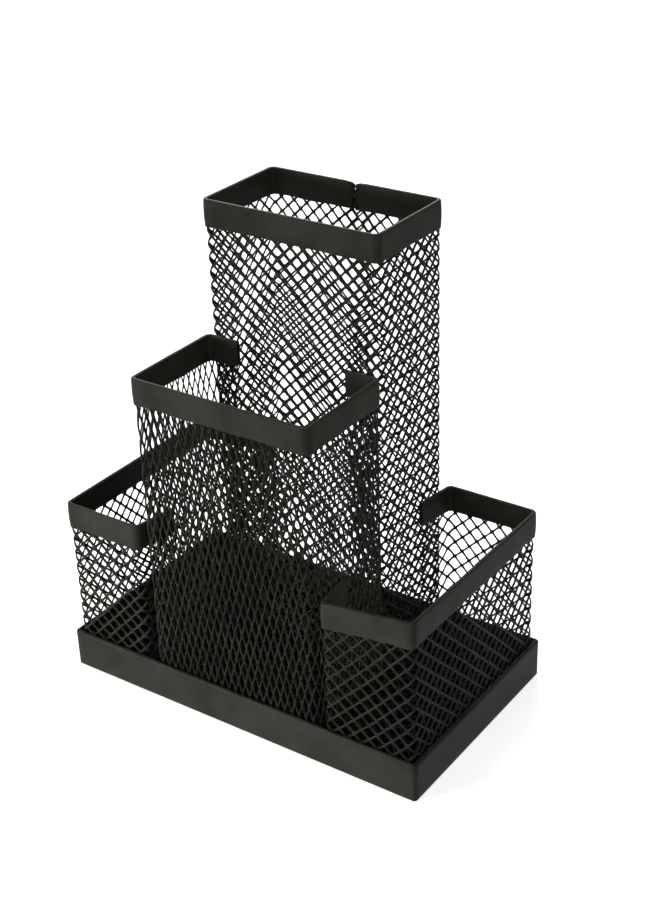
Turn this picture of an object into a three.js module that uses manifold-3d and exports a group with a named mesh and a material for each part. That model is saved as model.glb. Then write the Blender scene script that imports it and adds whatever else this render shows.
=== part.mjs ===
// Mesh desk organizer: a tall cup, a middle cup in front of it and a tray on each side, on one base.
// Millimetres, +Z up, +X to the right, +Y to the back. The origin is the centre of the underside.
// Every mesh wall is a plain thin sheet here, as thick as the expanded metal it stands for.
import * as THREE from 'three';
import { mergeVertices } from 'three/addons/utils/BufferGeometryUtils.js';
import Module from 'manifold-3d';

const wasm = await Module();
wasm.setup();

// Overall sizes
const bodyWidth = 130;
const bodyDepth = 74.6;
const skirtHeight = 13;
const trayHeight = 60.4;
const middleHeight = 111.2;
const tallHeight = 153.7;

// The column of two cups that stands between the trays
const columnOffset = -0.5;
const tallWidth = 60.8;
const tallDepth = 34.3;
const middleWidth = 62.1;
const middleReturn = 11.2;
const trayReturn = 14;
const leftTrayGap = 3.4;
const rightTrayGap = 2;
const rightTrayDrop = 3.8;

// Sheet and strip
const meshThickness = 0.7;
const leafThickness = 0.3;
const slotClearance = 0.1;
const foldThickness = 0.5;
const rimHeight = 8.3;
const rimEdgeRadius = 0.5;
const rimSeamOffset = 1.5;
const rimSeamGap = 0.5;
const skirtThickness = 1.2;
const lipWidth = 1.3;
const lipThickness = 1.1;
const skirtEdgeRadius = 0.7;
const padThickness = 1.5;

// Vertical corners, measured at the outer face
const cupCornerRadius = 2.2;
const trayCornerRadius = 2.2;
const skirtCornerRadius = 1.6;

// Clearances
const restGap = 0.3;

// Worked out from the sizes above
const rimReach = slotClearance + leafThickness;
const seatReach = restGap + rimReach;
const wallInset = lipWidth + restGap;
const floorTop = skirtHeight - lipThickness - restGap;
const wallLeft = wallInset - bodyWidth / 2;
const wallRight = bodyWidth / 2 - wallInset;
const wallFront = wallInset - bodyDepth / 2;
const wallBack = bodyDepth / 2 - wallInset;
const tallFront = wallBack - tallDepth;
const middleBack = tallFront - seatReach;
const columnHalfWidth = Math.max(tallWidth, middleWidth) / 2;

const arcSegments = 5;
const bevelSegments = 3;
const cutOverrun = 5;

const powderCoat = { color: 0x2a2a28, roughness: 0.42, metalness: 0.1 };
const meshCoat = { color: 0x1e1e1d, roughness: 0.48, metalness: 0.1 };
const paddingFoam = { color: 0x101010, roughness: 0.9, metalness: 0 };

const organizer = new THREE.Group();

function addPiece(name, geometry, finish, height = 0) {
  const piece = new THREE.Mesh(geometry, new THREE.MeshStandardMaterial(finish));
  piece.name = name;
  piece.position.z = height;
  organizer.add(piece);
}

// Solids: geometry in, boolean, geometry out

function toSolid(geometry, height = 0) {
  const bare = geometry.clone().translate(0, 0, height);
  bare.deleteAttribute('normal');
  bare.deleteAttribute('uv');
  const merged = mergeVertices(bare);
  const mesh = new wasm.Mesh({
    numProp: 3,
    vertProperties: Float32Array.from(merged.attributes.position.array),
    triVerts: Uint32Array.from(merged.index.array),
  });
  return new wasm.Manifold(mesh);
}

function toGeometry(solid) {
  const mesh = solid.getMesh();
  const geometry = new THREE.BufferGeometry();
  geometry.setAttribute('position', new THREE.BufferAttribute(mesh.vertProperties, 3));
  geometry.setIndex(new THREE.BufferAttribute(mesh.triVerts, 1));
  geometry.computeVertexNormals();
  return geometry;
}

function extrude(shape, depth) {
  return new THREE.ExtrudeGeometry(shape, { depth, bevelEnabled: false, curveSegments: arcSegments });
}

// An extrusion of a given height whose upper and lower edges are rounded within the outline.
function extrudeRounded(shape, height, radius) {
  const geometry = new THREE.ExtrudeGeometry(shape, {
    depth: height - 2 * radius,
    curveSegments: arcSegments,
    bevelEnabled: true,
    bevelThickness: radius,
    bevelSize: radius,
    bevelOffset: -radius,
    bevelSegments,
  });
  return geometry.translate(0, 0, radius);
}

// Everything below height 0, to cut the lower rounding off a band.
function belowGround() {
  const reach = 2 * (bodyWidth + bodyDepth);
  return toSolid(new THREE.BoxGeometry(reach, reach, reach), -reach / 2);
}

// Plan outlines

// A rectangle from (left, front) to (right, back) with rounded corners, drawn into a shape or a path.
function drawRectangle(path, left, right, front, back, radius) {
  path.moveTo(right, front + radius);
  path.absarc(right - radius, back - radius, radius, 0, Math.PI / 2, false);
  path.absarc(left + radius, back - radius, radius, Math.PI / 2, Math.PI, false);
  path.absarc(left + radius, front + radius, radius, Math.PI, 1.5 * Math.PI, false);
  path.absarc(right - radius, front + radius, radius, 1.5 * Math.PI, 2 * Math.PI, false);
  path.closePath();
  return path;
}

function baseOutline(inset) {
  const radius = Math.max(skirtCornerRadius - inset, leafThickness);
  const halfWidth = bodyWidth / 2 - inset;
  const halfDepth = bodyDepth / 2 - inset;
  return drawRectangle(new THREE.Shape(), -halfWidth, halfWidth, -halfDepth, halfDepth, radius);
}

// A strip bent along a plan route whose corners all turn left, each rounded to the same radius.
// The route is the strip's outer face; outward and inward are how far the strip reaches each side of it.
function bentStrip(route, radius, outward, inward) {
  const headings = route.slice(1).map((point, i) => point.clone().sub(route[i]).normalize());
  const outside = (heading) => new THREE.Vector2(heading.y, -heading.x);
  const sideways = (point, heading, distance) => point.clone().addScaledVector(outside(heading), distance);
  const corners = route.slice(1, -1).map((corner, i) => {
    const turn = Math.acos(headings[i].dot(headings[i + 1]));
    const arcStart = corner.clone().addScaledVector(headings[i], -radius * Math.tan(turn / 2));
    const from = outside(headings[i]).angle();
    return { centre: sideways(arcStart, headings[i], -radius), from, to: from + turn };
  });
  const first = route[0];
  const last = route[route.length - 1];
  const lastHeading = headings[headings.length - 1];
  const innerStart = sideways(first, headings[0], -inward);
  const outerStart = sideways(first, headings[0], outward);
  const strip = new THREE.Shape();
  strip.moveTo(innerStart.x, innerStart.y);
  strip.lineTo(outerStart.x, outerStart.y);
  for (const { centre, from, to } of corners) {
    strip.absarc(centre.x, centre.y, radius + outward, from, to, false);
  }
  for (const distance of [outward, -inward]) {
    const end = sideways(last, lastHeading, distance);
    strip.lineTo(end.x, end.y);
  }
  for (const { centre, from, to } of corners.toReversed()) {
    strip.absarc(centre.x, centre.y, radius - inward, to, from, true);
  }
  strip.closePath();
  return strip;
}

// The same route with both ends carried on, so that a slot cut along it runs out of the strip's ends.
function carriedOn(route, distance) {
  const longer = route.map((point) => point.clone());
  const last = route.length - 1;
  longer[0].addScaledVector(route[0].clone().sub(route[1]).normalize(), distance);
  longer[last].addScaledVector(route[last].clone().sub(route[last - 1]).normalize(), distance);
  return longer;
}

const point = (x, y) => new THREE.Vector2(x, y);

// Lets the points above a height sink by a distance that depends on their place in plan.
function lowered(geometry, dropAt, above) {
  const places = geometry.attributes.position;
  for (let i = 0; i < places.count; i += 1) {
    if (places.getZ(i) > above) {
      places.setZ(i, places.getZ(i) - dropAt(places.getX(i), places.getY(i)));
    }
  }
  return geometry;
}

const level = () => 0;

// Walls and rims

function addWall(name, route, radius, topHeight, dropAt = level) {
  const height = topHeight - foldThickness - restGap - floorTop;
  const wall = extrude(bentStrip(route, radius, 0, meshThickness), height);
  addPiece(name, lowered(wall, dropAt, height / 2), meshCoat, floorTop);
}

// A rim is a strip folded over the top edge of a wall: two leaves joined by a rounded fold.
function addRim(name, route, radius, topHeight, dropAt = level) {
  const reachIn = meshThickness + rimReach;
  const outline = bentStrip(route, radius, rimReach, reachIn);
  const band = toSolid(extrudeRounded(outline, rimHeight + rimEdgeRadius, rimEdgeRadius), -rimEdgeRadius);
  const slotOutline = bentStrip(
    carriedOn(route, rimSeamGap / 4), radius, slotClearance, meshThickness + slotClearance);
  const slot = toSolid(extrude(slotOutline, rimHeight - foldThickness + cutOverrun), -cutOverrun);
  const rim = toGeometry(band.subtract(belowGround()).subtract(slot));
  addPiece(name, lowered(rim, dropAt, -rimHeight), powderCoat, topHeight - rimHeight);
}

// Base: a skirt with a lip turned in along its top, a mesh floor held under the lip, a foam pad below

function addBase() {
  const block = toSolid(extrudeRounded(baseOutline(0), skirtHeight + skirtEdgeRadius, skirtEdgeRadius),
    -skirtEdgeRadius);
  const cavity = toSolid(extrude(baseOutline(skirtThickness), skirtHeight - lipThickness + cutOverrun),
    -cutOverrun);
  const mouth = toSolid(extrude(baseOutline(lipWidth), skirtHeight + 2 * cutOverrun), -cutOverrun);
  const skirt = block.subtract(belowGround()).subtract(cavity).subtract(mouth);
  addPiece('base_skirt', toGeometry(skirt), powderCoat);

  const inside = baseOutline(skirtThickness + restGap);
  addPiece('floor_mesh', extrude(inside, meshThickness), meshCoat, floorTop - meshThickness);
  addPiece('base_pad', extrude(inside, padThickness), paddingFoam);
}

// Tall cup: one mesh sheet closed at the back, and a rim whose two ends meet there

function addTallCup() {
  const left = columnOffset - tallWidth / 2;
  const right = columnOffset + tallWidth / 2;
  const innerRadius = cupCornerRadius - meshThickness;
  const tube = drawRectangle(new THREE.Shape(), left, right, tallFront, wallBack, cupCornerRadius);
  tube.holes.push(drawRectangle(new THREE.Path(), left + meshThickness, right - meshThickness,
    tallFront + meshThickness, wallBack - meshThickness, innerRadius));
  const height = tallHeight - foldThickness - restGap - floorTop;
  addPiece('tall_cup_mesh', extrude(tube, height), meshCoat, floorTop);

  const seam = columnOffset + rimSeamOffset;
  const route = [
    point(seam - rimSeamGap / 2, wallBack),
    point(left, wallBack),
    point(left, tallFront),
    point(right, tallFront),
    point(right, wallBack),
    point(seam + rimSeamGap / 2, wallBack),
  ];
  addRim('tall_cup_rim', route, cupCornerRadius, tallHeight);
}

// Middle cup: a sheet bent round three sides, with two short returns against the tall cup's front

function addMiddleCup() {
  const left = columnOffset - middleWidth / 2;
  const right = columnOffset + middleWidth / 2;
  const route = [
    point(left + middleReturn, middleBack),
    point(left, middleBack),
    point(left, wallFront),
    point(right, wallFront),
    point(right, middleBack),
    point(right - middleReturn, middleBack),
  ];
  addWall('middle_cup_mesh', route, cupCornerRadius, middleHeight);
  addRim('middle_cup_rim', route, cupCornerRadius, middleHeight);
}

// Side trays: each is bent round three sides. Its two returns lean in until they rest on the column.

function addTray(name, route, dropAt) {
  addWall(`${name}_mesh`, route, trayCornerRadius, trayHeight, dropAt);
  addRim(`${name}_rim`, route, trayCornerRadius, trayHeight, dropAt);
}

const besideMiddle = middleWidth / 2 + seatReach;
const besideTall = tallWidth / 2 + seatReach;

function addLeftTray() {
  const inner = columnOffset - columnHalfWidth - leftTrayGap;
  addTray('left_tray', [
    point(columnOffset - besideTall, wallBack - trayReturn),
    point(inner, wallBack),
    point(wallLeft, wallBack),
    point(wallLeft, wallFront),
    point(inner, wallFront),
    point(columnOffset - besideMiddle, wallFront + trayReturn),
  ]);
}

// The right tray's front slopes down towards the column, and its front return stays at that lower level.
function addRightTray() {
  const inner = columnOffset + columnHalfWidth + rightTrayGap;
  const frontDrop = (x, y) => {
    const along = THREE.MathUtils.clamp((wallRight - x) / (wallRight - inner), 0, 1);
    return y < 0 ? rightTrayDrop * along : 0;
  };
  addTray('right_tray', [
    point(columnOffset + besideMiddle, wallFront + trayReturn),
    point(inner, wallFront),
    point(wallRight, wallFront),
    point(wallRight, wallBack),
    point(inner, wallBack),
    point(columnOffset + besideTall, wallBack - trayReturn),
  ], frontDrop);
}

addBase();
addTallCup();
addMiddleCup();
addLeftTray();
addRightTray();

export default organizer;
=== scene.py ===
# Desk organizer in expanded steel mesh: a tall cup, a middle cup and two end trays on a shallow pressed base.
# The steel has a satin black powder coat, drawn a little darker on the mesh and rougher and darker still on the
# floor, the darker colour being painted shade, and a foam sheet closes the underside.
import math

import bpy
import numpy as np
from mathutils import Matrix, Vector


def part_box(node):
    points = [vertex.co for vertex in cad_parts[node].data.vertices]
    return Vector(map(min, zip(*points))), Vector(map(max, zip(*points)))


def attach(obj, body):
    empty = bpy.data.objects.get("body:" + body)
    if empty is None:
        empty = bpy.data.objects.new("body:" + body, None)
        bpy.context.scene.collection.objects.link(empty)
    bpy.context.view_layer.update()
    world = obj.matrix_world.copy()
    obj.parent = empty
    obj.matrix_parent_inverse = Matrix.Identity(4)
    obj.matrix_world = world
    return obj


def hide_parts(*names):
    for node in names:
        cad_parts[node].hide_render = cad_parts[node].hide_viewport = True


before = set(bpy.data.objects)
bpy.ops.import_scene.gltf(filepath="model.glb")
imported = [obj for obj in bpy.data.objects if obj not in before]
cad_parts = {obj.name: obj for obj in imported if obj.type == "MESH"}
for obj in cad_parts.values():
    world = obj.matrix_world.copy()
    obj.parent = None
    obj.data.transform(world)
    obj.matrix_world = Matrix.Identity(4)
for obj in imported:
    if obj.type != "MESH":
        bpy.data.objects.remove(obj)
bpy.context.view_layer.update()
mm = 0.001
print("frame loaded:", len(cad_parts), "parts")


# Colours and nodes

def linearColour(hexText):
    # sRGB to linear: c / 12.92 below 0.04045, else ((c + 0.055) / 1.055) to the power 2.4
    parts = [int(hexText[i:i + 2], 16) / 255 for i in (1, 3, 5)]
    return tuple(c / 12.92 if c <= 0.04045 else ((c + 0.055) / 1.055) ** 2.4 for c in parts) + (1,)


def addNode(tree, kind, values=None, links=None, **settings):
    # one node, its settings, the values of its sockets, and the sockets that feed it
    node = tree.nodes.new(kind)
    for name, value in settings.items():
        setattr(node, name, value)
    for socket, value in (values or {}).items():
        node.inputs[socket].default_value = value
    for socket, source in (links or {}).items():
        tree.links.new(source, node.inputs[socket])
    return node


def blankMaterial(name):
    material = bpy.data.materials.new(name)
    material.use_nodes = True
    material.node_tree.nodes.clear()
    return material, material.node_tree


# Routes and meshes: a route is a run of straight sides joined by arcs, seen from above, anticlockwise

def roundedRoute(corners, radius, arcSteps=12):
    # Each inner corner becomes an arc tangent to both sides: it starts radius * tan(turn / 2) before the
    # corner, its centre lies one radius to the left, and the outward side is always on the right.
    corners = np.array(corners, float)
    legs = np.diff(corners, axis=0)
    headings = np.arctan2(legs[:, 1], legs[:, 0])
    turns = np.mod(np.diff(headings), 2 * np.pi)
    headings = headings[0] + np.concatenate([[0], np.cumsum(turns)])
    ahead = np.column_stack([np.cos(headings), np.sin(headings)])
    left = np.column_stack([-np.sin(headings), np.cos(headings)])
    arcStart = corners[1:-1] - (radius * np.tan(turns / 2))[:, None] * ahead[:-1]
    centre = arcStart + radius * left[:-1]
    bearing = headings[:-1, None] + turns[:, None] * np.linspace(0, 1, arcSteps + 1)
    outward = np.stack([np.sin(bearing), -np.cos(bearing)], axis=-1)
    arcs = (centre[:, None] + radius * outward).reshape(-1, 2)
    points = np.vstack([corners[:1], arcs, corners[-1:]])
    bearings = np.concatenate([headings[:1], bearing.ravel(), headings[-1:]])
    steps = np.linalg.norm(np.diff(points, axis=0), axis=1)
    along = np.concatenate([[0], np.cumsum(steps)])
    bends = along[1:-1].reshape(len(turns), arcSteps + 1)
    return {"points": points, "bearings": bearings, "along": along, "length": along[-1], "bends": bends}


def placeOn(route, along, outward, up):
    # a point at a distance along the route, moved out square to it and lifted
    bearing = np.interp(along, route["along"], route["bearings"])
    x = np.interp(along, route["along"], route["points"][:, 0]) + outward * np.sin(bearing)
    y = np.interp(along, route["along"], route["points"][:, 1]) - outward * np.cos(bearing)
    return np.stack(np.broadcast_arrays(x, y, up), axis=-1)


def stationsOn(route, spacing, arcSteps=8):
    # even steps along the straights, with finer ones in their place round each bend
    even = np.linspace(0, route["length"], int(route["length"] / spacing) + 1)
    nearBend = spacing / 3
    inBend = np.zeros(len(even), bool)
    for first, last in route["bends"][:, [0, -1]]:
        inBend |= (even > first - nearBend) & (even < last + nearBend)
    inBend[[0, -1]] = False
    fine = np.linspace(route["bends"][:, 0], route["bends"][:, -1], arcSteps + 1).ravel()
    return np.unique(np.concatenate([even[~inBend], fine]))


def arcPoints(centreOut, centreUp, radius, fromAngle, toAngle, count):
    # points evenly spaced on an arc, from one angle in degrees to another
    angles = np.radians(np.linspace(fromAngle, toAngle, count))
    return np.column_stack([centreOut + radius * np.cos(angles), centreUp + radius * np.sin(angles)])


def ripple(along, seed, lengths, height):
    # a sum of sine waves of the given lengths, each started at its own random phase
    phases = np.random.default_rng(seed).uniform(0, 2 * np.pi, len(lengths))
    waves = [np.sin(2 * np.pi * along / length + phase) for length, phase in zip(lengths, phases)]
    return height * sum(waves) / len(lengths)


def addMesh(name, vertices, faces, material, node, sharpAngle=40):
    mesh = bpy.data.meshes.new(name)
    mesh.from_pydata(vertices, [], faces)
    mesh.validate()
    mesh.shade_smooth()
    mesh.set_sharp_from_angle(angle=math.radians(sharpAngle))
    mesh.materials.append(material)
    piece = bpy.data.objects.new(name, mesh)
    bpy.context.scene.collection.objects.link(piece)
    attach(piece, "root")
    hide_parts(node)
    print(name, "faces:", len(mesh.polygons))


def sweptFaces(stations, around, closed):
    # quads between neighbouring stations of a closed profile; an open run gets a cap at each end
    runs = stations if closed else stations - 1
    station, corner = np.meshgrid(np.arange(runs), np.arange(around), indexing="ij")
    nextStation, nextCorner = (station + 1) % stations, (corner + 1) % around
    quads = np.stack([station * around + corner, nextStation * around + corner,
                      nextStation * around + nextCorner, station * around + nextCorner], axis=-1)
    faces = quads.reshape(-1, 4).tolist()
    if not closed:
        faces.append(list(range(around)))
        faces.append(list(range(stations * around - 1, (stations - 1) * around - 1, -1)))
    return faces


def diamondCentres(length, low, high, columns, cell):
    # Rows half a cell apart, every other one moved on by half a cell. The rows climb by the tangent of
    # their angle, and a cell is kept if its climbed level lies between low and high.
    rise = math.tan(math.radians(cell["climb"]))
    width, halfRow = length / columns, cell["height"] / 2
    rows = np.arange(math.floor((low - abs(rise) * length) / halfRow) - 2,
                     math.ceil((high + abs(rise) * length) / halfRow) + 2)
    row, column = np.meshgrid(rows, np.arange(columns), indexing="ij")
    centre = np.stack([(column + 0.5 + 0.5 * (row % 2)) * width, row * halfRow], axis=-1).reshape(-1, 2)
    level = centre[:, 1] + rise * centre[:, 0]
    return centre[(centre[:, 0] < length - width / 4) & (level > low) & (level < high)]


def unitOutlines(points, power):
    # Two loops of the same count: a diamond, |u| + |v| = 1, evenly divided along its four sides, and a
    # superellipse, |u| ** p + |v| ** p = 1, which cos and sin to the power 2 / p trace.
    perSide = points // 4
    side, share = np.arange(points) // perSide, (np.arange(points) % perSide)[:, None] / perSide
    tips = np.array([[1, 0], [0, 1], [-1, 0], [0, -1], [1, 0]])
    turn = 2 * np.pi * np.arange(points) / points
    superellipse = np.column_stack([np.sign(np.cos(turn)) * np.abs(np.cos(turn)) ** (2 / power),
                                    np.sign(np.sin(turn)) * np.abs(np.sin(turn)) ** (2 / power)])
    return tips[side] * (1 - share) + tips[side + 1] * share, superellipse


def ringFaces(shared, knots):
    # Quads for the front and back of every ring and for the wall of its hole, then for the cut edge of the
    # sheet, which runs where only one cell has a side. The vertices are the front knots, the back knots,
    # the front hole edges and the back hole edges.
    frontHole, backHole = 2 * knots, 2 * knots + shared.size
    ring = np.arange(shared.size).reshape(shared.shape)
    nextRing, nextShared = np.roll(ring, -1, axis=1), np.roll(shared, -1, axis=1)
    front = np.stack([shared, nextShared, frontHole + nextRing, frontHole + ring], -1)
    back = np.stack([knots + nextShared, knots + shared, backHole + ring, backHole + nextRing], -1)
    wall = np.stack([frontHole + ring, frontHole + nextRing, backHole + nextRing, backHole + ring], -1)
    sides = np.stack([shared, nextShared], -1).reshape(-1, 2)
    index, counts = np.unique(np.sort(sides, axis=1), axis=0, return_index=True, return_counts=True)[1:]
    first, second = sides[index[counts == 1]].T
    cut = np.stack([second, first, knots + first, knots + second], -1)
    return np.vstack([front.reshape(-1, 4), back.reshape(-1, 4), wall.reshape(-1, 4), cut]).tolist()


def expandedSheet(length, low, high, cell, seed):
    # Slit and stretched sheet laid flat. Each cell is a ring from its diamond outline in to the edge of its
    # hole, a superellipse |u / a| ** p + |v / b| ** p = 1, and the strands lean out of the sheet by an
    # amount that grows from one side of each hole to the other.
    columns = max(1, round(length / cell["width"]))
    half = np.array([length / columns / 2, cell["height"] / 2])
    centre = diamondCentres(length, low, high, columns, cell)
    diamond, superellipse = unitOutlines(cell["points"], cell["roundness"])

    # the hole stops half a strand short of its diamond's sides, and every hole differs a little
    reach = half[0] * half[1] / math.hypot(half[0], half[1])
    shrink = (1 - cell["strand"] / 2 / reach) / 2 ** (1 - 1 / cell["roundness"])
    random = np.random.default_rng(seed)
    fromEnd = np.minimum(centre[:, 0], length - centre[:, 0])
    fused = 1 - cell["fused"] * (fromEnd < cell["fusedReach"])
    size = shrink * fused[:, None, None] * (1 + random.normal(0, cell["sizeSpread"], (len(centre), 1, 1)))
    hole = centre[:, None] + superellipse * half * size
    hole += random.normal(0, cell["strand"] * cell["placeSpread"], (len(centre), 1, 2))
    hole = hole.reshape(-1, 2)

    # outline points lie on a lattice, so that neighbouring cells find the knots they share
    outline = (centre[:, None] + diamond * half).reshape(-1, 2)
    lattice = half / (cell["points"] // 4)
    keys, shared = np.unique(np.round(outline / lattice).astype(int), axis=0, return_inverse=True)
    shared = shared.reshape(len(centre), cell["points"])
    knots = np.zeros((len(keys), 2))
    knots[shared.ravel()] = outline

    lean = cell["lean"] * np.tile(superellipse[:, 0 if cell["slit"] == "up" else 1], len(centre))
    thick, edge = cell["gauge"] / 2, cell["gauge"] / 2 * cell["edgeShare"]
    out = np.concatenate([np.full(len(knots), thick), np.full(len(knots), -thick), lean + edge, lean - edge])
    along, up = np.vstack([knots, knots, hole, hole]).T
    up = up + math.tan(math.radians(cell["climb"])) * along
    # columns and rows drift on slow waves, skewed so that no two rows drift alike
    along = along + ripple(up * 1.3 + along * 0.4, seed + 1, cell["driftAlong"], cell["drift"])
    up = up + ripple(along + up * 0.3, seed + 2, cell["driftUp"], cell["drift"])
    return along, up, out, ringFaces(shared, len(knots))


# Finishes

coat = {"cloudSize": 18 * mm, "toneFrom": 0.35, "toneTo": 0.7, "glossFrom": 0.3, "glossTo": 0.7,
        "smoother": 0.03, "rougher": 0.05, "peelStrength": 0.5}
foam = {"poreSize": 0.6 * mm, "poreDepth": 0.1 * mm, "poreStrength": 0.6, "roughness": 0.85, "shine": 0.02}


def powderCoat(name, colour, brighter, roughness, shine, peelSize, peelDepth):
    # Polyester powder coat baked on steel: one opaque layer with a fine orange peel, which spreads the
    # highlight to a dull sheen, and a faint change of tone and gloss where the powder lies thinner.
    material, tree = blankMaterial(name)
    place = addNode(tree, "ShaderNodeTexCoord").outputs["Object"]
    peel = addNode(tree, "ShaderNodeTexNoise", {"Scale": 1 / peelSize, "Detail": 2.5, "Roughness": 0.55},
                   {"Vector": place})
    cloud = addNode(tree, "ShaderNodeTexNoise", {"Scale": 1 / coat["cloudSize"], "Detail": 3, "Roughness": 0.6},
                    {"Vector": place})
    tone = addNode(tree, "ShaderNodeValToRGB", links={"Fac": cloud.outputs["Fac"]})
    tone.color_ramp.elements[0].position = coat["toneFrom"]
    tone.color_ramp.elements[0].color = linearColour(colour)
    tone.color_ramp.elements[1].position = coat["toneTo"]
    tone.color_ramp.elements[1].color = linearColour(brighter)
    gloss = addNode(tree, "ShaderNodeMapRange",
                    {"From Min": coat["glossFrom"], "From Max": coat["glossTo"],
                     "To Min": roughness - coat["smoother"], "To Max": roughness + coat["rougher"]},
                    {"Value": cloud.outputs["Fac"]})
    relief = addNode(tree, "ShaderNodeBump", {"Strength": coat["peelStrength"], "Distance": peelDepth},
                     {"Height": peel.outputs["Fac"]})
    shader = addNode(tree, "ShaderNodeBsdfPrincipled", {"IOR": 1.5, "Specular IOR Level": shine},
                     {"Base Color": tone.outputs["Color"], "Roughness": gloss.outputs["Result"],
                      "Normal": relief.outputs["Normal"]})
    addNode(tree, "ShaderNodeOutputMaterial", links={"Surface": shader.outputs["BSDF"]})
    return material


def sheetFoam(name, colour, brighter):
    # Black sheet foam: matt, with small pores, each painted darker towards its middle as painted shade in the pit
    material, tree = blankMaterial(name)
    place = addNode(tree, "ShaderNodeTexCoord").outputs["Object"]
    pores = addNode(tree, "ShaderNodeTexVoronoi", {"Scale": 1 / foam["poreSize"]}, {"Vector": place})
    # darkest at each pore's middle, where the pit lies: painted shade
    tone = addNode(tree, "ShaderNodeValToRGB", links={"Fac": pores.outputs["Distance"]})
    tone.color_ramp.elements[0].color = linearColour(colour)
    tone.color_ramp.elements[1].color = linearColour(brighter)
    relief = addNode(tree, "ShaderNodeBump", {"Strength": foam["poreStrength"], "Distance": foam["poreDepth"]},
                     {"Height": pores.outputs["Distance"]})
    shader = addNode(tree, "ShaderNodeBsdfPrincipled",
                     {"IOR": 1.45, "Roughness": foam["roughness"], "Specular IOR Level": foam["shine"]},
                     {"Base Color": tone.outputs["Color"], "Normal": relief.outputs["Normal"]})
    addNode(tree, "ShaderNodeOutputMaterial", links={"Surface": shader.outputs["BSDF"]})
    return material


# Each coat's darker and brighter tone, roughness, specular level, and the size and depth of its orange peel.
# The specular level is far below a gloss paint's, so that the black stays black in white surroundings.
stripCoat = powderCoat("satinBlackPowderCoatStrip", "#272622", "#353530", 0.42, 0.035, 0.7 * mm, 0.025 * mm)
# The mesh takes the strips' coat a little darker: the darker colour is painted shade for the strands deep inside
# the cups.
meshCoat = powderCoat("satinBlackPowderCoatMesh", "#20211e", "#2c2d28", 0.4, 0.03, 0.5 * mm, 0.02 * mm)
# The floor takes the same powder coat, rougher and less shiny, and its colour is darker as painted shade for the
# floor mesh in the shade of the walls.
floorCoatPaintedShade = powderCoat("blackPowderCoatFloorPaintedShade", "#1b1c1a", "#282926", 0.6, 0.02, 0.5 * mm, 0.02 * mm)
padFoam = sheetFoam("blackSheetFoam", "#0a0a0a", "#121212")
print("finishes made")


# The four wraps: each one's cell, and where its sheet runs inside the box of its part

cellShape = {"roundness": 1.14, "gauge": 0.52 * mm, "edgeShare": 0.65, "lean": 0.12 * mm, "points": 12,
             "climb": 0, "fused": 0, "fusedReach": 0, "sizeSpread": 0.012, "placeSpread": 0.05,
             "drift": 0.12 * mm, "driftAlong": (31 * mm, 47 * mm), "driftUp": (37 * mm, 23 * mm),
             "sharpAngle": 75}
tallCup = {"mesh": "tall_cup_mesh", "rim": "tall_cup_rim", "cornerRadius": 1.9 * mm, "seed": 11,
           "rimCut": (-0.5 * mm, 0.4 * mm), "meshLap": (3.2 * mm, -0.6 * mm),
           "cell": {**cellShape, "width": 4.7 * mm, "height": 4.6 * mm, "strand": 0.56 * mm, "climb": 3.7,
                    "slit": "across", "fused": 0.16, "fusedReach": 5 * mm}}
middleCup = {"mesh": "middle_cup_mesh", "rim": "middle_cup_rim", "cornerRadius": 1.9 * mm, "seed": 22,
             "returns": 11.2 * mm,
             "cell": {**cellShape, "width": 2.63 * mm, "height": 8.8 * mm, "strand": 0.4 * mm, "climb": 0.8,
                      "slit": "up"}}
leftTray = {"mesh": "left_tray_mesh", "rim": "left_tray_rim", "cornerRadius": 1.9 * mm, "seed": 33,
            "returns": 14 * mm, "cornerInset": 3.35 * mm, "frontLean": 2.7 * mm, "backLean": 3.35 * mm,
            "cell": {**cellShape, "width": 4.95 * mm, "height": 4.95 * mm, "strand": 0.64 * mm, "climb": 1.5,
                     "slit": "across"}}
rightTray = {"mesh": "right_tray_mesh", "rim": "right_tray_rim", "cornerRadius": 1.9 * mm, "seed": 44,
             "returns": 14 * mm, "cornerInset": 1.95 * mm, "frontLean": 1.3 * mm, "backLean": 1.95 * mm,
             "drop": 3.8 * mm,
             "cell": {**cellShape, "width": 5.2 * mm, "height": 5.3 * mm, "strand": 0.54 * mm, "climb": 1.0,
                      "slit": "across"}}
sheetDepth = 0.7 * mm   # room the leaning strands take up
wrapShape = {"topTrim": 0.6, "wave": 0.08 * mm, "waveLengths": (41 * mm, 27 * mm),
             "lapStep": 0.55 * mm, "lapRamp": 3 * mm}


def insetBox(node, inset):
    low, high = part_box(node)
    return low.x + inset, high.x - inset, low.y + inset, high.y - inset


def cupRoute(cup, ends):
    # once round the cup at the middle of its sheet, leaving the back wall at one end and coming back to the other
    left, right, front, back = insetBox(cup["mesh"], sheetDepth / 2)
    corners = [(ends[0], back), (left, back), (left, front), (right, front), (right, back), (ends[1], back)]
    return roundedRoute(corners, cup["cornerRadius"] - sheetDepth / 2)


def middleRoute(cup):
    # round the front of the cup, with a short return at each end along the back
    left, right, front, back = insetBox(cup["mesh"], sheetDepth / 2)
    reach = cup["returns"]
    corners = [(left + reach, back), (left, back), (left, front),
               (right, front), (right, back), (right - reach, back)]
    return roundedRoute(corners, cup["cornerRadius"] - sheetDepth / 2)


def trayRoute(tray):
    # round the three outer sides, with a return at each end that leans towards the cups
    left, right, front, back = insetBox(tray["mesh"], sheetDepth / 2)
    reach, radius = tray["returns"], tray["cornerRadius"] - sheetDepth / 2
    if right < 0:
        inner = right - tray["cornerInset"]
        corners = [(inner + tray["backLean"], back - reach), (inner, back), (left, back), (left, front),
                   (inner, front), (inner + tray["frontLean"], front + reach)]
    else:
        inner = left + tray["cornerInset"]
        corners = [(inner - tray["frontLean"], front + reach), (inner, front), (right, front), (right, back),
                   (inner, back), (inner - tray["backLean"], back - reach)]
    return roundedRoute(corners, radius)


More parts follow.
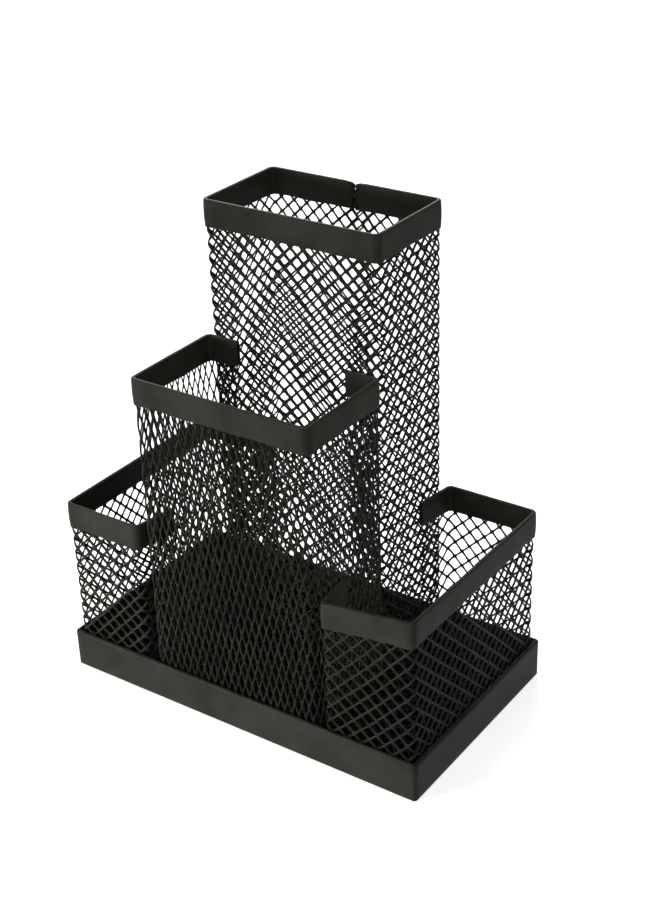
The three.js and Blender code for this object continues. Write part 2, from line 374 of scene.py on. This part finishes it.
def sagged(points, tray, floor, top):
    # the front wall drops towards its inner corner, in full at the top and not at all at the floor
    if "drop" not in tray:
        return points
    low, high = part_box(tray["mesh"])
    inner = low.x + tray["cornerInset"]
    share = np.clip((high.x - points[:, 0]) / (high.x - inner), 0, 1) * (points[:, 1] < 0)
    lift = np.clip((points[:, 2] - floor) / (top - floor), 0, 1)
    return points - np.column_stack([np.zeros((len(points), 2)), tray["drop"] * share * lift])


# Wrapped mesh

def wrapMesh(wrap, route):
    # the flat sheet bent along its route, with a slow wave out of its plane
    low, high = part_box(wrap["mesh"])
    cell, length = wrap["cell"], route["length"]
    sheetTop = high.z - low.z - cell["height"] * wrapShape["topTrim"]
    along, up, out, faces = expandedSheet(length, 0, sheetTop, cell, wrap["seed"])
    out = out + ripple(along, wrap["seed"] + 5, wrapShape["waveLengths"], wrapShape["wave"])
    if "meshLap" in wrap:
        # the end of the strip steps out over its own start by one sheet
        lap, ramp = wrap["meshLap"][0] - wrap["meshLap"][1], wrapShape["lapRamp"]
        out = out + wrapShape["lapStep"] * np.clip((along - (length - lap - ramp)) / ramp, 0, 1)
    points = sagged(placeOn(route, along, out, low.z + up), wrap, low.z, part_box(wrap["rim"])[1].z)
    # the strands' coat is drawn a little darker than the strips' as painted shade
    addMesh(wrap["mesh"] + "_strands", points, faces, meshCoat, wrap["mesh"], cell["sharpAngle"])


wrapMesh(tallCup, cupRoute(tallCup, tallCup["meshLap"]))
wrapMesh(middleCup, middleRoute(middleCup))
wrapMesh(leftTray, trayRoute(leftTray))
wrapMesh(rightTray, trayRoute(rightTray))
print("mesh wraps made")


# Folded rims: one strip of sheet folded over the top edge of each wrap

rimFold = {"halfWidth": 0.68 * mm, "leaf": 0.32 * mm, "topRadius": 0.45 * mm, "crown": 0.06 * mm,
           "facePoints": 9, "bendPoints": 6, "innerBendPoints": 4, "spacing": 1.6 * mm,
           "wave": 0.09 * mm, "waveLengths": (29 * mm, 17 * mm, 11 * mm), "topWaveShare": 0.3,
           "edgeWave": 0.14 * mm, "edgeWaveLengths": (43 * mm, 19 * mm),
           "puckerOut": 0.12 * mm, "puckerUp": 0.3 * mm, "puckerReach": 3.2 * mm}
tornCut = {"stations": np.array([0.3, 0.6, 0.9]) * mm, "reach": 1.3 * mm, "fray": 0.55 * mm,
           "alongShare": 0.5, "outShare": 0.45, "upShare": 0.3, "notch": 1.2, "notchFade": 3}


def foldProfile(height):
    # An upside-down U: out along the outer leaf, over a rounded top, down the inner leaf, and back up inside
    half, leaf, radius = rimFold["halfWidth"], rimFold["leaf"], rimFold["topRadius"]
    bend, innerBend = rimFold["bendPoints"], rimFold["innerBendPoints"]
    tip, inner = leaf / 2, half - leaf
    innerRadius = inner * 0.5
    levels = np.linspace(-height + tip, -radius, rimFold["facePoints"])[1:-1]
    crown = rimFold["crown"] * np.sin(np.pi * (levels + height) / height)
    outerFace = np.column_stack([half + crown, levels])
    innerFace = np.column_stack([-half - crown[::-1] * 0.5, levels[::-1]])
    return np.vstack([
        arcPoints(half - tip, -height + tip, tip, 180, 360, bend), outerFace,
        arcPoints(half - radius, -radius, radius, 0, 90, bend),
        arcPoints(radius - half, -radius, radius, 90, 180, bend), innerFace,
        arcPoints(tip - half, -height + tip, tip, 180, 360, bend),
        arcPoints(innerRadius - inner, -leaf - innerRadius, innerRadius, 180, 90, innerBend),
        arcPoints(inner - innerRadius, -leaf - innerRadius, innerRadius, 90, 0, innerBend)])


def foldedRim(wrap, route):
    # The fold's profile carried along the route. It waves more towards its lower edge, and at each bend,
    # exp(-(distance / reach) ** 2) gives how much the spare strip bulges out and hangs lower.
    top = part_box(wrap["rim"])[1].z
    stripLow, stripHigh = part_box("tall_cup_rim")   # the one strip whose box no slope or lean makes higher
    height = stripHigh.z - stripLow.z
    profile = foldProfile(height)
    stations, seed = stationsOn(route, rimFold["spacing"]), wrap["seed"]
    if "rimCut" in wrap:
        near = tornCut["stations"]
        stations = np.unique(np.concatenate([stations, near, route["length"] - near]))
    along, out = np.meshgrid(stations, profile[:, 0], indexing="ij")
    up = np.broadcast_to(profile[:, 1], along.shape)
    depth = -up / height
    wave = ripple(along, seed + 7, rimFold["waveLengths"], rimFold["wave"])
    out = out + wave * (rimFold["topWaveShare"] + depth)
    up = up + ripple(along, seed + 8, rimFold["edgeWaveLengths"], rimFold["edgeWave"]) * depth
    bends = route["bends"].mean(axis=1)
    pucker = np.exp(-((along[..., None] - bends) / rimFold["puckerReach"]) ** 2).sum(axis=-1)
    out = out + rimFold["puckerOut"] * pucker * np.sin(np.pi * np.clip(depth, 0, 1))
    up = up - rimFold["puckerUp"] * pucker * depth ** 2
    if "rimCut" in wrap:
        # the two cut ends are torn: each point near the cut is pushed about, and the top edge dips into a notch
        torn = np.random.default_rng(seed + 9).normal(0, 1, (3,) + along.shape)
        fromEnd = np.minimum(along, route["length"] - along)
        fray = tornCut["fray"] * np.exp(-(fromEnd / tornCut["reach"]) ** 2)
        notch = tornCut["notch"] * (1 - np.clip(depth * tornCut["notchFade"], 0, 1))
        along = along + tornCut["alongShare"] * fray * torn[0]
        out = out + tornCut["outShare"] * fray * torn[1]
        up = up + fray * (tornCut["upShare"] * torn[2] - notch)
    points = placeOn(route, along, out, top + up).reshape(-1, 3)
    points = sagged(points, wrap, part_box(wrap["mesh"])[0].z, top - height)
    faces = sweptFaces(len(stations), len(profile), False)
    addMesh(wrap["rim"] + "_fold", points, faces, stripCoat, wrap["rim"])


foldedRim(tallCup, cupRoute(tallCup, tallCup["rimCut"]))
foldedRim(middleCup, middleRoute(middleCup))
foldedRim(leftTray, trayRoute(leftTray))
foldedRim(rightTray, trayRoute(rightTray))
print("rims made")


# Base: pressed skirt, floor mesh and foam pad

skirt = {"cornerRadius": 1.3 * mm, "sheet": 1.2 * mm, "shoulder": 0.7 * mm, "lipReach": 1.35 * mm,
         "lipDepth": 1.1 * mm, "underLip": 0.4 * mm, "footRadius": 0.5 * mm, "innerFoot": 0.3 * mm,
         "innerFootRadius": 0.25 * mm, "wave": 0.12 * mm, "spacing": 2 * mm}
floorPanel = {"cell": {**cellShape, "width": 5.3 * mm, "height": 5.4 * mm, "strand": 0.4 * mm, "slit": "across"},
              "margin": 0.45, "seed": 55}
pad = {"cornerRadius": 3 * mm, "softEdge": 0.35 * mm, "spacing": 4 * mm, "sharpAngle": 60}


def boxRoute(node, radius):
    # once round a part's box, closed on itself in the middle of the back
    low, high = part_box(node)
    middle = (low.x + high.x) / 2
    corners = [(middle, high.y), (low.x, high.y), (low.x, low.y), (high.x, low.y), (high.x, high.y),
               (middle, high.y)]
    return roundedRoute(corners, radius)


def baseSkirt():
    # Foot, outer face, rounded shoulder, lip turned in with a rolled edge, then down the inside. The face
    # dents inwards by half a sine from foot to shoulder, and by five and eight waves round the base.
    low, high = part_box("base_skirt")
    height = high.z - low.z
    sheet, shoulder, foot = skirt["sheet"], skirt["shoulder"], skirt["footRadius"]
    roll, innerFoot = skirt["lipDepth"] / 2, skirt["innerFootRadius"]
    faceLevels = np.linspace(foot, height - shoulder, 8)[1:-1]
    innerLevels = np.linspace(height - skirt["lipDepth"] - skirt["underLip"], skirt["innerFoot"], 6)
    profile = np.vstack([
        arcPoints(-foot, foot, foot, 270, 360, 5), np.column_stack([0 * faceLevels, faceLevels]),
        arcPoints(-shoulder, height - shoulder, shoulder, 0, 90, 9),
        arcPoints(roll - skirt["lipReach"], height - roll, roll, 90, 230, 6),
        np.column_stack([-sheet + 0 * innerLevels, innerLevels]),
        arcPoints(innerFoot - sheet, innerFoot, innerFoot, 180, 270, 3)])
    route = boxRoute("base_skirt", skirt["cornerRadius"])
    stations = stationsOn(route, skirt["spacing"])[:-1]
    along, out = np.meshgrid(stations, profile[:, 0], indexing="ij")
    up = np.broadcast_to(profile[:, 1], along.shape)
    dent = skirt["wave"] * np.sin(np.pi * np.clip(up / height, 0, 1))
    turns = 2 * np.pi * along / route["length"]
    out = out - dent * (0.5 + 0.25 * np.sin(5 * turns + 1.1) + 0.25 * np.sin(8 * turns + 0.4))
    points = placeOn(route, along, out, low.z + up).reshape(-1, 3)
    faces = sweptFaces(len(stations), len(profile), True)
    addMesh("base_skirt_pressing", points, faces, stripCoat, "base_skirt")


def floorMesh():
    # the same expanded sheet laid level, its rows running from left to right and dividing the depth evenly
    low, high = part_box("floor_mesh")
    cell, depth = dict(floorPanel["cell"]), high.y - low.y
    cell["height"] = depth / round(depth / cell["height"])
    margin = cell["height"] * floorPanel["margin"]
    along, across, out, faces = expandedSheet(high.x - low.x, margin, depth - margin, cell, floorPanel["seed"])
    level = (low.z + high.z) / 2
    points = np.column_stack([low.x + along, low.y + across, level + out])
    # the floor's coat is drawn darker than the walls' as painted shade
    addMesh("floor_mesh_strands", points, faces, floorCoatPaintedShade, "floor_mesh", cell["sharpAngle"])


def basePad():
    # Rings from the bottom out round the edge and back to the top, closed by a fan at each end. Each ring
    # is the outline moved in, scaled about the middle and lifted.
    low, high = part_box("base_pad")
    route = boxRoute("base_pad", pad["cornerRadius"])
    stations = stationsOn(route, pad["spacing"])[:-1]
    thick, soft = high.z - low.z, pad["softEdge"]
    corner = soft * 0.3   # how far the rounded edge cuts its corner
    rings = [(0.5, 0, 0), (1, -soft * 2, 0), (1, -corner, corner), (1, 0, soft),
             (1, 0, thick - soft), (1, -corner, thick - corner), (1, -soft * 2, thick), (0.5, 0, thick)]
    middle = np.array([(low.x + high.x) / 2, (low.y + high.y) / 2, 0])
    loops = [middle + (placeOn(route, stations, inset, 0.0) - middle) * [scale, scale, 1] + [0, 0, low.z + lift]
             for scale, inset, lift in rings]
    points = np.vstack(loops + [middle + [0, 0, low.z], middle + [0, 0, high.z]])
    count, last = len(stations), (len(rings) - 1) * len(stations)
    ring, spot = np.meshgrid(np.arange(len(rings) - 1), np.arange(count), indexing="ij")
    after = (spot + 1) % count
    quads = np.stack([ring * count + spot, ring * count + after,
                      (ring + 1) * count + after, (ring + 1) * count + spot], -1)
    under = np.column_stack([after[0], spot[0], np.full(count, len(points) - 2)])
    over = np.column_stack([last + spot[0], last + after[0], np.full(count, len(points) - 1)])
    faces = quads.reshape(-1, 4).tolist() + under.tolist() + over.tolist()
    addMesh("base_pad_foam", points, faces, padFoam, "base_pad", pad["sharpAngle"])


baseSkirt()
floorMesh()
basePad()
print("base made")


# Studio: a white table in white air, a small soft box low at the front left, and three wide ones above

studio = {"tableSize": 6.0, "tableGap": 0.1 * mm, "tableColour": "#e6e6e6", "tableRoughness": 0.35,
          "lift": 0.74, "worldLight": 0.33, "ceilingLight": 0.06, "fadeFrom": 0.1, "fadeTo": 0.8}
lamps = {"keyLamp": {"power": 0.45, "size": 0.3, "at": (-0.42, -0.62, 0.06), "towards": (-0.04, -0.05, -0.02),
                     "spread": 28, "colour": (1, 0.99, 0.93)},
         "frontLamp": {"power": 1.2, "size": 0.5, "at": (0.15, -1.0, 0.95), "towards": (0, 0, 0.05),
                       "spread": 120, "colour": (1, 1, 0.97)},
         "sideLamp": {"power": 0.7, "size": 0.6, "at": (1.0, -0.15, 0.75), "towards": (0, 0, 0.12),
                      "spread": 120, "colour": (1, 1, 1)},
         "edgeLamp": {"power": 2.2, "size": 0.4, "at": (-0.55, 0.7, 0.55), "towards": (0, 0, 0.1),
                      "spread": 120, "colour": (1, 1, 1)}}


def seenDirectly(tree):
    # 1 for rays that show the backdrop itself: camera, mirror and glass rays
    rays = addNode(tree, "ShaderNodeLightPath")
    mirrored = {0: rays.outputs["Is Camera Ray"], 1: rays.outputs["Is Glossy Ray"]}
    first = addNode(tree, "ShaderNodeMath", links=mirrored, operation="MAXIMUM")
    through = {0: first.outputs[0], 1: rays.outputs["Is Transmission Ray"]}
    return addNode(tree, "ShaderNodeMath", links=through, operation="MAXIMUM").outputs[0]


def addTable():
    # a flat white square just under the foot, lifted to white where it is seen directly
    half, level = studio["tableSize"] / 2, -studio["tableGap"]
    corners = [(-half, -half, level), (half, -half, level), (half, half, level), (-half, half, level)]
    mesh = bpy.data.meshes.new("table")
    mesh.from_pydata(corners, [], [(0, 1, 2, 3)])
    material, tree = blankMaterial("whiteTable")
    seen = seenDirectly(tree)
    glow = addNode(tree, "ShaderNodeMath", {1: studio["lift"]}, {0: seen}, operation="MULTIPLY")
    paint = addNode(tree, "ShaderNodeBsdfPrincipled",
                    {"Base Color": linearColour(studio["tableColour"]), "Roughness": studio["tableRoughness"],
                     "Emission Color": (1, 1, 1, 1)}, {"Emission Strength": glow.outputs[0]})
    addNode(tree, "ShaderNodeOutputMaterial", links={"Surface": paint.outputs["BSDF"]})
    mesh.materials.append(material)
    table = bpy.data.objects.new("table", mesh)
    bpy.context.scene.collection.objects.link(table)


def addLamp(name, lamp):
    # a square soft box; its spread is the angle of the beam that its grid lets through
    light = bpy.data.lights.new(name, "AREA")
    light.energy, light.size, light.color = lamp["power"], lamp["size"], lamp["colour"]
    light.spread = math.radians(lamp["spread"])
    holder = bpy.data.objects.new(name, light)
    holder.location = lamp["at"]
    holder.rotation_euler = (Vector(lamp["towards"]) - Vector(lamp["at"])).to_track_quat("-Z", "Y").to_euler()
    holder.visible_camera = False
    bpy.context.scene.collection.objects.link(holder)


def addWorld():
    # white where it is seen directly; as light, it dims from the horizon up to a darker ceiling
    world = bpy.data.worlds.new("studioAir")
    bpy.context.scene.world = world
    world.use_nodes = True
    tree = world.node_tree
    tree.nodes.clear()
    direction = addNode(tree, "ShaderNodeTexCoord")
    height = addNode(tree, "ShaderNodeSeparateXYZ", links={0: direction.outputs["Generated"]})
    fade = addNode(tree, "ShaderNodeMapRange",
                   {"From Min": studio["fadeFrom"], "From Max": studio["fadeTo"],
                    "To Min": studio["worldLight"], "To Max": studio["ceilingLight"]},
                   {"Value": height.outputs["Z"]})
    light = addNode(tree, "ShaderNodeBackground", {"Color": (1, 1, 1, 1)}, {"Strength": fade.outputs["Result"]})
    white = addNode(tree, "ShaderNodeBackground", {"Color": (1, 1, 1, 1), "Strength": 1})
    mixed = addNode(tree, "ShaderNodeMixShader",
                    links={0: seenDirectly(tree), 1: light.outputs[0], 2: white.outputs[0]})
    addNode(tree, "ShaderNodeOutputWorld", links={"Surface": mixed.outputs[0]})


addTable()
for name, lamp in lamps.items():
    addLamp(name, lamp)
addWorld()
bpy.context.scene.view_settings.view_transform = "Standard"


# Camera: above the front right corner, turned a little about its own axis

view = {"azimuth": 35.46, "elevation": 28.11, "distance": 0.47913, "target": (0.01264, 0, 0.08358), "roll": -2.04,
        "lens": 43.135, "sensor": 24.0}


def addCamera():
    # back looks from the target to the camera; the other two axes come from it and are then rolled
    azimuth, elevation, roll = (math.radians(view[k]) for k in ("azimuth", "elevation", "roll"))
    level = math.cos(elevation)
    back = Vector((math.sin(azimuth) * level, -math.cos(azimuth) * level, math.sin(elevation)))
    across = Vector((0, 0, 1)).cross(back).normalized()
    down = -back.cross(across)
    rolledAcross = math.cos(roll) * across - math.sin(roll) * down
    rolledDown = math.sin(roll) * across + math.cos(roll) * down
    lens = bpy.data.cameras.new("camera")
    lens.sensor_fit = "VERTICAL"
    lens.sensor_height = view["sensor"]
    lens.lens = view["lens"]
    holder = bpy.data.objects.new("camera", lens)
    turned = Matrix((rolledAcross, -rolledDown, back)).transposed().to_4x4()
    holder.matrix_world = Matrix.Translation(Vector(view["target"]) + back * view["distance"]) @ turned
    bpy.context.scene.collection.objects.link(holder)
    bpy.context.scene.camera = holder


addCamera()
print("studio and camera set")

bpy.context.view_layer.update()
